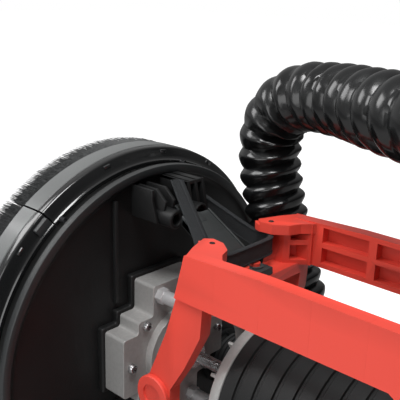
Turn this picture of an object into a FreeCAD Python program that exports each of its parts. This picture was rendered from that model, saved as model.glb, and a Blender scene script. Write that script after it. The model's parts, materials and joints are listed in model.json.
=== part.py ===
"""Long-reach wall and ceiling sander: round brush-rimmed head in a gimbal, red cage fork, boom and rear grip.

Frame: origin at the centre of the sanding face, +X along the disc axis towards the grip, +Z up.
The operator's left side, where the suction hose runs, is +Y. All sizes are in millimetres.
"""
import FreeCAD, Part
import math
import os
import re
import Sketcher

V = FreeCAD.Vector
doc = FreeCAD.newDocument("wall_sander")

# ---------------------------------------------------------------- driving dimensions
DIMENSIONS = {
    "disc_radius": 112.5,        # abrasive disc
    "disc_thick": 1,
    "pad_back": 10,              # back of the foam pad
    "plate_back": 13,            # back of the drive plate
    "hub_back": 21,
    "dust_hole_radius": 7,
    "dust_hole_circle": 90,
    "rim_radius": 125,           # outside of the brush rim
    "rim_front": 18,
    "rim_band_back": 36,
    "rim_back": 41,
    "rim_bore": 117,
    "flange_bore": 114,
    "bristle_inner": 118.5,
    "bristle_outer": 124,
    "segment_half_angle": 53,    # removable brush segment, either side of -Y
    "skirt_outer": 113,
    "skirt_inner": 110,
    "lip_outer": 116,
    "lip_front": 46,
    "lip_back": 51,
    "hood_plate_front": 45,
    "hood_plate_back": 48,
    "nose_radius": 18,
    "nose_front": 34,
    "cover_back": 51,
    "bearing_large": 14,         # outside radius of the spindle bearings
    "bearing_width": 8,
    "spindle_radius": 6,
    "spindle_end": 59,
    "screw_core": 3,
    "gear_module": 0.9,
    "lay_height": 25.2,          # layshaft above the disc axis
    "lay_radius": 4,
    "cavity_radius": 20.5,
    "cavity_back": 66,
    "box_back": 70,
    "input_radius": 5,
    "input_bearing": 13,
    "pivot_x": 100,              # both gimbal axes cross here
    "post_end": 79,              # hood posts that carry the strap pin
    "post_z": 91,
    "post_radius": 5.8,
    "post_near_y": -11,
    "post_far_y": 10,
    "pin_x": 70,
    "pin_radius": 2.5,
    "pin_half_length": 15,
    "plinth_back": 53.5,
    "plinth_margin": 3,
    "standoff_y": 15,
    "standoff_z": 41,
    "bracket_front": 92,
    "ring_inner": 31,
    "ring_outer": 37,
    "ring_width": 12,
    "pivot_pin": 4,
    "pivot_clearance": 0.05,
    "bush_radius": 6.5,
    "cheek_inner": 40,           # inside face of the fork's struts
    "cheek_outer": 49,
    "arm_inner": 42,
    "arm_outer": 50,
    "arm_low": 66,
    "arm_high": 94,
    "strut_outer": 48,
    "web_inner": 29.5,           # inner web between strut and horn
    "pocket_height": 9.5,
    "horn_low": 86,
    "horn_high": 92,
    "shell_front": 262,
    "shell_back": 330,
    "shell_inner": 44,
    "shell_outer": 50,
    "casing_inner": 40,
    "bell_front": 124,
    "bell_back": 142,
    "motor_shaft": 4,
    "motor_bearing": 11,
    "boom_radius": 19,
    "boom_bore": 17,
    "boom_front": 372,
    "boom_back": 1036,
    "inlet_x": 352,
    "inlet_radius": 18,
    "inlet_top": 70,
    "grip_front": 850,
    "grip_back": 1040,
    "gland_z": -31,
    "spigot_front": 1052,        # vacuum hose spigot
    "spigot_back": 1092,
    "spigot_radius": 18.5,
    "spigot_bore": 15,
    "swivel_clearance": 0.05,
    "hose_diameter": 42,
    "port_y": 73,              # dust port in the hood
    "port_z": -45,
    "port_radius": 18,
    "port_back": 74,
    "cuff_length": 18,
}

sheet = doc.addObject("Spreadsheet::Sheet", "dims")
for row, (alias, size) in enumerate(DIMENSIONS.items(), start=1):
    sheet.set(f"A{row}", alias)
    sheet.set(f"B{row}", str(size))
    sheet.setAlias(f"B{row}", alias)
doc.recompute()

PIECES = {}


# ---------------------------------------------------------------- helpers
def linked(expression):
    """Turn sheet aliases in a plain expression into references to the sheet."""
    def reference(match):
        word = match.group()
        return f"dims.{word}" if word in DIMENSIONS else word
    return re.sub(r"[A-Za-z_][A-Za-z_0-9]*", reference, str(expression))


def size_of(expression):
    return float(sheet.evalExpression(linked(expression)))


def bind(thing, prop, expression):
    thing.setExpression(prop, linked(expression))


def place(thing, at):
    for axis, expression in zip("xyz", at):
        bind(thing, f"Placement.Base.{axis}", expression)


def keep(node, thing):
    """Name a finished piece; its label is its file name."""
    thing.Label = node
    PIECES[node] = thing
    return thing


TURN = {
    "x": FreeCAD.Rotation(V(0, 1, 0), 90),
    "y": FreeCAD.Rotation(V(1, 0, 0), -90),
    "z": FreeCAD.Rotation(),
}


def rod(name, radius, length, at=(0, 0, 0), along="x"):
    """Solid cylinder that starts at a point and runs along one axis."""
    solid = doc.addObject("Part::Cylinder", name)
    bind(solid, "Radius", radius)
    bind(solid, "Height", length)
    solid.Placement = FreeCAD.Placement(V(), TURN[along])
    place(solid, at)
    return solid


def block(name, size, at):
    """Box given by its three sizes and its lowest corner."""
    solid = doc.addObject("Part::Box", name)
    for prop, expression in zip(("Length", "Width", "Height"), size):
        bind(solid, prop, expression)
    place(solid, at)
    return solid


def fuse(name, *parts):
    joined = doc.addObject("Part::MultiFuse", name)
    joined.Shapes = list(parts)
    joined.Refine = True
    return joined


def cut(name, base, *tools):
    removed = doc.addObject("Part::Cut", name)
    removed.Base = base
    removed.Tool = tools[0] if len(tools) == 1 else fuse(name + "_tools", *tools)
    return removed


def group(name, *parts):
    """Several separate solids that share one node."""
    together = doc.addObject("Part::Compound", name)
    together.Links = list(parts)
    return together


def ring(name, outer, inner, length, at=(0, 0, 0), along="x"):
    return cut(name, rod(name + "_outside", outer, length, at, along),
               rod(name + "_inside", inner, length, at, along))


def sketch_on(body, plane, points):
    """Closed outline; every corner is held by two sheet-driven dimensions."""
    sketch = body.newObject("Sketcher::SketchObject", body.Name + "_outline")
    support = [f for f in body.Origin.OriginFeatures if f.Role == plane + "_Plane"][0]
    sketch.AttachmentSupport = [(support, "")]
    sketch.MapMode = "FlatFace"
    corners = [V(size_of(a), size_of(b), 0) for a, b in points]
    count = len(corners)
    for i in range(count):
        sketch.addGeometry(Part.LineSegment(corners[i], corners[(i + 1) % count]), False)
    for i in range(count):
        sketch.addConstraint(Sketcher.Constraint("Coincident", i, 2, (i + 1) % count, 1))
    for i, (a, b) in enumerate(points):
        for kind, expression, value in (("DistanceX", a, corners[i].x), ("DistanceY", b, corners[i].y)):
            index = sketch.addConstraint(Sketcher.Constraint(kind, -1, 1, i, 1, value))
            bind(sketch, f"Constraints[{index}]", expression)
    return sketch


def turned(name, points, at=(0, 0, 0), angle=360, start=0):
    """Profile of (x, radius) points turned about the x axis, from a start angle above +Y."""
    body = doc.addObject("PartDesign::Body", name)
    sketch = sketch_on(body, "XY", points)
    turn = body.newObject("PartDesign::Revolution", name + "_turn")
    turn.Profile = sketch
    turn.ReferenceAxis = (sketch, ["H_Axis"])
    turn.Angle = angle
    body.Placement = FreeCAD.Placement(V(), FreeCAD.Rotation(V(1, 0, 0), start))
    place(body, at)
    return body


def pressed(name, plane, points, length, at=(0, 0, 0), soften=None):
    """Outline padded square to its plane: YZ goes to +X, XZ goes to +Y, XY goes to +Z."""
    body = doc.addObject("PartDesign::Body", name)
    sketch = sketch_on(body, plane, points)
    pad = body.newObject("PartDesign::Pad", name + "_pad")
    pad.Profile = sketch
    bind(pad, "Length", length)
    pad.Reversed = plane == "XZ"
    if soften:
        doc.recompute()
        normal = {"YZ": V(1, 0, 0), "XZ": V(0, 1, 0), "XY": V(0, 0, 1)}[plane]
        upright = []
        for number, edge in enumerate(pad.Shape.Edges, start=1):
            direction = edge.Vertexes[-1].Point - edge.Vertexes[0].Point
            if direction.Length > 0 and abs(direction.normalize().dot(normal)) > 0.999:
                upright.append(f"Edge{number}")
        rounding = body.newObject("PartDesign::Fillet", name + "_rounding")
        rounding.Base = (pad, upright)
        bind(rounding, "Radius", soften)
    place(body, at)
    return body


def flipped(name, source, normal):
    """Mirror copy of a piece through the origin."""
    mirror = doc.addObject("Part::Mirroring", name)
    mirror.Source = source
    mirror.Normal = normal
    return mirror


def shaped(name, shape):
    """Piece whose surface has no sketch or primitive of its own kind."""
    piece = doc.addObject("Part::Feature", name)
    piece.Shape = shape
    return piece


# ---------------------------------------------------------------- sanding pad
def dust_holes(name, start, length):
    holes = []
    for i in range(8):
        angle = math.radians(45 * i)
        at = (start, f"dust_hole_circle * {math.cos(angle):.6f}", f"dust_hole_circle * {math.sin(angle):.6f}")
        holes.append(rod(f"{name}_hole_{i}", "dust_hole_radius", length, at))
    return holes


def build_pad():
    keep("abrasive_disc", cut(
        "abrasive", rod("abrasive_blank", "disc_radius", "disc_thick"),
        rod("abrasive_centre", 14, "disc_thick"), *dust_holes("abrasive", 0, "disc_thick")))
    depth = "pad_back - disc_thick"
    keep("foam_pad", cut(
        "foam", rod("foam_blank", "disc_radius - 0.5", depth, ("disc_thick", 0, 0)),
        rod("foam_centre", 14, depth, ("disc_thick", 0, 0)), *dust_holes("foam", "disc_thick", depth)))
    keep("drive_plate", turned("plate", [
        ("pad_back", "screw_core"), ("pad_back", 70), ("plate_back", 70), ("plate_back", 16),
        ("hub_back", 14), ("hub_back", "screw_core")]))
    head = "pad_back - 5"
    socket = pressed("pad_screw_socket", "YZ", [
        (4 * math.cos(math.radians(60 * i)), 4 * math.sin(math.radians(60 * i))) for i in range(6)],
        3, (head, 0, 0))
    keep("pad_screw", cut("pad_screw_body", turned("pad_screw_blank", [
        (head, 0), (head, 8), (head + " + 1", 9), ("pad_back", 9), ("pad_back", "screw_core"),
        (36, "screw_core"), (36, 0)]), socket))
    keep("spindle", turned("spindle_shaft", [
        ("hub_back", "screw_core"), ("hub_back", 10), ("nose_front - 2", 10),
        ("nose_front - 2", "spindle_radius"), ("spindle_end", "spindle_radius"), ("spindle_end", 0),
        (36, 0), (36, "screw_core")]))


# ---------------------------------------------------------------- gears
PRESSURE = math.radians(20)
TOOTH_THICKNESS = 0.42       # share of the circular pitch, which leaves backlash
ADDENDUM = 0.8
DEDENDUM = 1.2


def involute(angle):
    return math.tan(angle) - angle


def gear_outline(teeth, tooth_on_z):
    """Points of a spur gear in the YZ plane; a tooth or a gap stands on +Z."""
    module = size_of("gear_module")
    pitch = module * teeth / 2
    base = pitch * math.cos(PRESSURE)
    tip = pitch + ADDENDUM * module
    root = pitch - DEDENDUM * module
    half_pitch = math.pi * TOOTH_THICKNESS / teeth
    points = []
    first = math.pi / 2 + (0 if tooth_on_z else math.pi / teeth)
    for tooth in range(teeth):
        middle = first + 2 * math.pi * tooth / teeth
        flank = []
        low = max(base, root)
        for step in range(4):
            radius = low + (tip - low) * step / 3
            opening = math.acos(min(1.0, base / radius))
            half = half_pitch + involute(PRESSURE) - involute(opening)
            flank.append((radius, half))
        foot = flank[0][1] * 1.05
        rising = [(root, -foot)] + [(r, -h) for r, h in flank]
        falling = [(r, h) for r, h in reversed(flank)] + [(root, foot)]
        for radius, offset in rising + falling:
            angle = middle + offset
            points.append(V(0, radius * math.cos(angle), radius * math.sin(angle)))
    return points


def gear(node, teeth, start, end, at_z, bore=None, tooth_on_z=True):
    points = gear_outline(teeth, tooth_on_z)
    face = Part.Face(Part.makePolygon(points + points[:1]))
    solid = face.extrude(V(size_of(end) - size_of(start), 0, 0))
    if bore:
        solid = solid.cut(Part.makeCylinder(size_of(bore), 100, V(-10, 0, 0), V(1, 0, 0)))
    piece = shaped(node + "_teeth", solid)
    piece.Placement = FreeCAD.Placement(V(size_of(start), 0, size_of(at_z)), FreeCAD.Rotation())
    return piece


WHEEL_TEETH = 42
PINION_TEETH = 14


def box_outline(margin=0):
    """Stepped outline of the gearbox in the YZ plane, grown by a margin."""
    half = [("21", "-48"), ("21", "-28"), ("33", "-28"), ("33", "-20"), ("45", "-20"),
            ("45", "20"), ("33", "20"), ("33", "28"), ("21", "28"), ("21", "48")]
    grown = []
    for y, z in half:
        sign = "-" if z.startswith("-") else "+"
        grown.append((f"{y} + {margin}", f"{z} {sign} {margin}"))
    return grown + [(f"-({y})", z) for y, z in reversed(grown)]


def build_gearbox():
    outline = box_outline()
    axle = ("lay_radius + pivot_clearance", "lay_height")
    cover = fuse("cover_blank",
                 pressed("cover_plate", "YZ", outline, "cover_back - hood_plate_back",
                         ("hood_plate_back", 0, 0), soften=2),
                 rod("cover_nose", "nose_radius", "hood_plate_back - nose_front", ("nose_front", 0, 0)))
    keep("gear_cover", cut(
        "cover", cover,
        rod("cover_bore", "bearing_large", "cover_back - nose_front", ("nose_front", 0, 0)),
        rod("cover_axle_hole", axle[0], 2, ("cover_back - 2", 0, axle[1]))))
    blank = fuse("box_blank",
                 pressed("box_outline", "YZ", outline, "box_back - cover_back",
                         ("cover_back", 0, 0), soften=2),
                 rod("box_boss", 27, 5, ("box_back", 0, 0)),
                 rod("box_collar", "nose_radius", 9, ("box_back", 0, 0)))
    keep("gearbox_housing", cut(
        "box", blank,
        rod("box_lower_room", "cavity_radius", "cavity_back - cover_back", ("cover_back", 0, 0)),
        rod("box_upper_room", "cavity_radius", "cavity_back - cover_back", ("cover_back", 0, "lay_height")),
        rod("box_shaft_hole", "input_radius + 1.5", 20, ("cavity_back - 1", 0, 0)),
        rod("box_bearing_seat", "input_bearing", 10, ("box_back", 0, 0)),
        rod("box_axle_hole", axle[0], 2.5, ("cavity_back", 0, axle[1]))))
    keep("spindle_bearings", group("spindle_bearing_set", *[
        ring(f"spindle_bearing_{i}", "bearing_large", "spindle_radius", "bearing_width", (start, 0, 0))
        for i, start in enumerate(("nose_front", "cover_back - bearing_width"))]))
    keep("input_bearing", ring("bearing_input", "input_bearing", "input_radius", "bearing_width",
                               ("box_back", 0, 0)))
    keep("spindle_gear", gear("spindle_gear", WHEEL_TEETH, "52.5", "58.5", "0", "spindle_radius", True))
    axle_bar = turned("lay_axle", [
        ("cover_back - 1.8", 0), ("cover_back - 1.8", "lay_radius"), (68.3, "lay_radius"), (68.3, 0)],
        (0, 0, "lay_height"))
    axle_teeth = gear("layshaft_pinion", PINION_TEETH, "52", "59", "lay_height", None, False)
    keep("layshaft", fuse("layshaft_body", axle_bar, axle_teeth))
    keep("layshaft_wheel", gear("layshaft_wheel", WHEEL_TEETH, "60", "65", "lay_height", "lay_radius", True))
    shaft = turned("input_axle", [
        (65.5, 0), (65.5, "input_radius"), (79.6, "input_radius"), (79.6, 8), (88, 8), (88, 0)])
    teeth = gear("input_pinion", PINION_TEETH, "60", "65.5", "0", None, False)
    keep("input_pinion", fuse("input_pinion_shaft", shaft, teeth))
    screws = []
    for i, (y, z) in enumerate(((-27, 24), (27, 24), (-39, 0), (39, 0), (-27, -24), (27, -24))):
        screws.append(turned(f"box_screw_{i}", [
            ("box_back", 0), ("box_back", 3), ("box_back + 3", 3), ("box_back + 3.5", 2.4),
            ("box_back + 3.5", 0)], (0, y, z)))
    keep("gearbox_screws", group("box_screws", *screws))


# ---------------------------------------------------------------- hood and brush rim
def near_ribs():
    """Three upright ribs with sloping tops between the near post and the hood's wall."""
    ribs = []
    for i, (y, low_x, high_x) in enumerate(((-19, 66, 66), (-15, 73, 65), (-8, 73, 65))):
        outline = [("hood_plate_back - 1", 88), ("pin_x", 88), (low_x, 101), (high_x, 107.5),
                   ("hood_plate_back - 1", 107.5)]
        ribs.append(pressed(f"near_rib_{i}", "XZ", outline, 2, (0, y, 0)))
    return ribs


def far_block():
    """Roofed block with two open slots above the far post."""
    walls = [pressed(f"far_wall_{i}", "XZ", [
        ("hood_plate_back - 1", 86), ("post_end - 3", 92), ("post_end - 4", 97), ("post_end - 7", 110),
        ("hood_plate_back - 1", 110)], 2.2, (0, 4.5 + 6.2 * i, 0)) for i in range(3)]
    roof = block("far_roof", ("post_end - 7 - hood_plate_back", 14.6, 2.5), ("hood_plate_back", 4.5, 107.5))
    return walls + [roof]


def post(name, y, hole_radius):
    body = rod(name, "post_radius", "post_end - hood_plate_back", ("hood_plate_back", y, "post_z"))
    hole = rod(name + "_hole", hole_radius, 8, ("post_end - 7", y, "post_z"))
    return body, hole


def build_hood():
    shell = turned("hood_shell", [
        (22, "skirt_inner"), (22, "skirt_outer"), ("lip_front", "skirt_outer"), ("lip_front", "lip_outer"),
        ("lip_back", "lip_outer"), ("lip_back", "skirt_inner"), ("hood_plate_back", "skirt_inner - 3"),
        ("hood_plate_back", "nose_radius"), ("hood_plate_front", "nose_radius"),
        ("hood_plate_front", "skirt_inner")])
    near, near_hole = post("near_post", "post_near_y", 3.2)
    far, far_hole = post("far_post", "post_far_y", 4)
    blank = fuse("posts_blank", near, far, *near_ribs(), *far_block())
    upper = cut("posts_upper", blank, near_hole, far_hole,
                rod("post_cross_hole", "pin_radius", "2 * pin_half_length",
                    ("pin_x", "-pin_half_length", "post_z"), "y"))
    lower = flipped("posts_lower", upper, V(0, 0, 1))
    rib_upper = block("plate_rib", (3, 2.5, 66), ("hood_plate_back - 0.5", -34, 34))
    rib_lower = flipped("plate_rib_lower", rib_upper, V(0, 0, 1))
    rise = "plinth_back - hood_plate_back"
    start = ("hood_plate_back", 0, 0)
    plinth = cut("plinth",
                 pressed("plinth_outside", "YZ", box_outline("plinth_margin"), rise, start, soften=2),
                 pressed("plinth_inside", "YZ", box_outline("0.1"), rise, start, soften=2))
    solid = fuse("hood_solid", shell, upper, lower, rib_upper, rib_lower, plinth)
    outlet = rod("hood_outlet", "port_radius - 2", 10, ("hood_plate_front - 2", "port_y", "port_z"))
    keep("hood", cut("hood_body", solid, outlet))
    keep("strap_pins", group("strap_pin_set", *[
        rod(f"strap_pin_{side}", "pin_radius", "2 * pin_half_length",
            ("pin_x", "-pin_half_length", f"{side} * post_z"), "y") for side in (-1, 1)]))
    keep("dust_port", turned("port", [
        ("hood_plate_back", "port_radius - 2"), ("hood_plate_back", "port_radius + 3"),
        ("hood_plate_back + 3", "port_radius + 3"),
        ("hood_plate_back + 3", "port_radius"), ("port_back", "port_radius"),
        ("port_back", "port_radius - 2")], (0, "port_y", "port_z")))
    keep("hose_cuff_front", ring("cuff_front", "port_radius + 3", "port_radius", "cuff_length",
                                 ("port_back - cuff_length", "port_y", "port_z")))


def build_rim():
    rim = [("rim_front", "rim_bore"), ("rim_front", "rim_radius"), ("rim_band_back", "rim_radius"),
           ("rim_back - 1.5", "rim_radius - 4"), ("rim_back", "flange_bore"), ("rim_back - 2", "flange_bore"),
           ("rim_band_back - 2", "rim_bore")]
    bristles = [(0.5, "bristle_inner"), (0.5, "bristle_outer"),
                ("rim_front", "bristle_outer"), ("rim_front", "bristle_inner")]
    half = size_of("segment_half_angle")
    gap = 0.4
    span = 2 * (half - gap)
    keep("brush_rim", turned("rim_main", rim, angle=360 - 2 * half, start=half - 180))
    keep("brush_bristles", turned("bristles_main", bristles, angle=360 - 2 * half, start=half - 180))
    keep("brush_segment", turned("rim_segment", rim, angle=span, start=180 - half + gap))
    keep("segment_bristles", turned("bristles_segment", bristles, angle=span, start=180 - half + gap))
    springs = []
    for i in range(6):
        angle = math.radians(-125 + 50 * i)
        at = ("rim_back", 116 * math.cos(angle), 116 * math.sin(angle))
        springs.append(ring(f"rim_spring_{i}", 1.8, 1.1, "lip_front - rim_back", at))
    keep("rim_springs", group("rim_spring_set", *springs))


# ---------------------------------------------------------------- gimbal and its brackets
def build_gimbal():
    standoffs = []
    for i, (y, z) in enumerate(((-1, 1), (1, 1), (-1, -1), (1, -1))):
        at = ("box_back", f"{y} * standoff_y", f"{z} * standoff_z")
        hexagon = pressed(f"standoff_hex_{i}", "YZ", [
            (5.2 * math.cos(math.radians(60 * k)), 5.2 * math.sin(math.radians(60 * k))) for k in range(6)],
            5, at)
        stem = rod(f"standoff_stem_{i}", 4.2, "bracket_front - box_back", at)
        standoffs.append(fuse(f"standoff_{i}", hexagon, stem))
    keep("bracket_standoffs", group("standoff_set", *standoffs))
    flange = block("bracket_flange", (3, "2 * standoff_y + 10", 9), ("bracket_front", "-standoff_y - 5", 38))
    ear = block("bracket_ear", ("pivot_x + 12 - bracket_front", 20, 5), ("bracket_front", -10, 42))
    hole = rod("bracket_hole", "pivot_pin + pivot_clearance", 20, ("pivot_x", 0, 35), "z")
    bracket = cut("bracket_upper", fuse("bracket_solid", flange, ear), hole)
    keep("yaw_brackets", group("bracket_pair", bracket, flipped("bracket_lower", bracket, V(0, 0, 1))))
    heads = []
    for i, (y, z) in enumerate(((-1, 1), (1, 1), (-1, -1), (1, -1))):
        at = ("bracket_front + 3", f"{y} * standoff_y", f"{z} * (standoff_z + 1.5)")
        heads.append(turned(f"bracket_screw_{i}", [(0, 0), (0, 3.5), (2.5, 3.5), (3, 2.8), (3, 0)], at))
    keep("bracket_screws", group("bracket_screw_set", *heads))
    blank = ring("ring_blank", "ring_outer", "ring_inner", "ring_width", ("pivot_x - ring_width / 2", 0, 0))
    holes = [rod("ring_hole_y", "pivot_pin", 100, ("pivot_x", -50, 0), "y"),
             rod("ring_hole_z", "pivot_pin", 100, ("pivot_x", 0, -50), "z")]
    keep("gimbal_ring", cut("ring_body", blank, *holes))
    inner = "ring_inner + 1"
    reach = "cheek_outer - ring_inner - 1"
    pins = []
    for side in (-1, 1):
        low_y = inner if side > 0 else "-cheek_outer"
        low_z = inner if side > 0 else -47
        pins.append(rod(f"pitch_pin_{side}", "pivot_pin", reach, ("pivot_x", low_y, 0), "y"))
        pins.append(rod(f"yaw_pin_{side}", "pivot_pin", "47 - ring_inner - 1", ("pivot_x", 0, low_z), "z"))
    keep("gimbal_pins", group("gimbal_pin_set", *pins))
    keep("flex_shaft", rod("flex_rope", 4, 24, (88, 0, 0)))


BAND_STATIONS = [        # centre and width direction of the elastic band, from the near limb to the far limb
    ((66, 1.2, 110.5), (10, -2, 3)), ((103.5, -16.5, 86.5), (10, 0, 3)), ((114, -22.5, 79), (6, 4, 7)),
    ((125.5, -18, 80), (0, 0, 10)), ((125.5, 18, 80), (0, 0, 10)), ((120, 25, 80), (0, 0, 10)),
    ((108, 25.2, 79), (0, 0, 11)), ((84, 22.5, 88), (2, 0, 13)), ((60, 23, 95), (4, 0, 12))]
BAND_WIDTH = 11
BAND_THICK = 3.6


def band():
    """Flat elastic band: rectangular sections joined by flat triangles."""
    centres = [V(*centre) for centre, _ in BAND_STATIONS]
    sections = []
    for i, (_, across) in enumerate(BAND_STATIONS):
        ahead = centres[min(i + 1, len(centres) - 1)] - centres[max(i - 1, 0)]
        wide = V(*across).normalize() * (BAND_WIDTH / 2)
        thick = ahead.cross(wide).normalize() * (BAND_THICK / 2)
        corners = (wide + thick, thick - wide, -wide - thick, wide - thick)
        sections.append([centres[i] + corner for corner in corners])
    outlines = [sections[0], sections[-1][::-1]]
    for here, there in zip(sections, sections[1:]):
        for k in range(4):
            after = (k + 1) % 4
            outlines.append([here[k], there[k], there[after]])
            outlines.append([here[k], there[after], here[after]])
    faces = [Part.Face(Part.makePolygon(outline + outline[:1])) for outline in outlines]
    solid = Part.Solid(Part.Shell(faces))
    solid.fix(1e-6, 1e-6, 1e-6)
    return solid


def build_straps():
    """Rubber tongue from the pin between the posts to the fork's bridge, and the band behind the horns."""
    tongue = pressed("tongue_sheet", "XZ", [
        (72, 87), (75, 93), (84, 94), (111, 78.5), (121, 71.5), (134, 71.5), (134, 67), (120, 67), (109, 74)],
        24, (0, -12, 0))
    notches = [block(f"tongue_notch_{i}", (13, 9, 20), (70, y, 80)) for i, y in enumerate((-14, 3.8))]
    pegs = [rod(f"tongue_peg_hole_{i}", 3, 10, (126, y, 65), "z") for i, y in enumerate((-5, 5))]
    eye = rod("tongue_eye", 5, 8.3, ("pin_x", -4.5, "post_z"), "y")
    bore = rod("tongue_bore", "pin_radius", 30, ("pin_x", -15, "post_z"), "y")
    upper = group("strap_upper", cut("tongue", fuse("tongue_solid", tongue, eye), bore, *notches, *pegs),
                  shaped("band", band()))
    keep("centring_strap_upper", upper)
    keep("centring_strap_lower", flipped("strap_lower", upper, V(0, 0, 1)))


# ---------------------------------------------------------------- fork
FORK_SCREWS = ((127, 63.5), (127, -63.5), (280, 47), (280, -47), (316, 47), (316, -47))


def arm_pockets():
    """Two rows of pockets: four columns in an arm's inner face, the first in the wall that turns inward."""
    pockets = []
    for row, low in enumerate((69, 81.5)):
        pockets.append(pressed(f"turned_pocket_{row}", "XY", [
            (131, 31.5), (138.5, 39), (133.5, 44), (126, 36.5)], "pocket_height", (0, 0, low)))
        for column, start in enumerate((146, 181, 216)):
            pockets.append(block(f"arm_pocket_{column}_{row}", (30, 6, "pocket_height"),
                                 (start, "arm_inner", low)))
    return pockets


def fork_half():
    """The +Y half of the fork: two arms, a forward-pointing strut, horns, bridges and the rear shell."""
    beam = pressed("fork_beam", "XZ", [
        (115.4, "arm_low"), (240, "arm_low"), (300, 28), (326, 28), (326, 44), (270, "arm_high"),
        (170, "arm_high"), (122, "horn_high"), (118, 76)],
        "arm_outer - arm_inner", (0, "arm_inner", 0))
    wall = pressed("fork_wall", "XY", [
        (120, 31), (122, 29.5), (127.5, 29.5), (140, 42), (140, "strut_outer"), (122, "strut_outer"),
        (120, 40)], "horn_high - arm_low", (0, 0, "arm_low"))
    horn = pressed("fork_horn", "XY", [
        (112, 24), (116, 20.5), (124, 21.5), (132, 27.5), (135, 35), (142, 43), (142, "strut_outer"),
        (122, "strut_outer"), (117, 38)], "horn_high - horn_low", (0, 0, "horn_low"), soften=1.5)
    beak = pressed("fork_beak", "XY", [(109, 25), (112, 21.8), (116, 20.5), (118, 30), (115, 31)], 4,
                   (0, 0, "horn_low"))
    bridge = block("fork_bridge", (14, 43, 7), (120, 0, 60))
    peg = rod("fork_peg", 3, 8, (126, 5, 66), "z")
    web = pressed("fork_web", "XZ", [(111, 56), (118.5, 56), (127.5, 88), (120, 88)],
                  "arm_inner - web_inner", (0, "web_inner", 0))
    blank = fuse("fork_upper_solid", beam, wall, horn, beak, bridge, peg, web)
    upper = cut("fork_upper", blank, *arm_pockets())
    lower = flipped("fork_lower", upper, V(0, 0, 1))
    front = [(136, 92), (122, 90), (118, 76), (115, 65), (108, 42), (94, 8)]
    rear = [(112, 8), (122, 25), (133, 48), (134, 66), (140, 66), (140, 92)]
    outline = front + [(x, -z) for x, z in reversed(front)] + [(x, -z) for x, z in reversed(rear)] + rear
    strut = pressed("fork_strut", "XZ", outline, "strut_outer - cheek_inner", (0, "cheek_inner", 0))
    pivot = rod("fork_pivot_boss", 12, "cheek_outer - cheek_inner", ("pivot_x", "cheek_inner", 0), "y")
    shell = cut("fork_shell",
                block("fork_shell_outside", ("shell_back - shell_front", "shell_outer", "2 * shell_outer"),
                      ("shell_front", 0, "-shell_outer")),
                block("fork_shell_inside", ("shell_back - shell_front", "shell_inner", "2 * shell_inner"),
                      ("shell_front", 0, "-shell_inner")))
    holes = [rod("fork_bush_seat", "bush_radius", 20, ("pivot_x", 35, 0), "y")]
    for i, (x, z) in enumerate(FORK_SCREWS):
        holes.append(rod(f"fork_screw_hole_{i}", 2, 14, (x, -1, z), "y"))
    return cut("fork_far_body", fuse("fork_solid", upper, lower, strut, pivot, shell), *holes)


def build_fork():
    far = fork_half()
    keep("fork_far", far)
    keep("fork_near", flipped("fork_near_body", far, V(0, 1, 0)))
    screws = [rod(f"fork_screw_{i}", 2, 24, (x, -12, z), "y") for i, (x, z) in enumerate(FORK_SCREWS)]
    keep("fork_screws", group("fork_screw_set", *screws))
    bushes = []
    for side in (-1, 1):
        at = ("pivot_x", "cheek_inner" if side > 0 else "-cheek_outer", 0)
        bushes.append(ring(f"pivot_bush_{side}", "bush_radius", "pivot_pin + pivot_clearance",
                           "cheek_outer - cheek_inner", at, "y"))
    keep("pivot_bushes", group("pivot_bush_set", *bushes))


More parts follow.
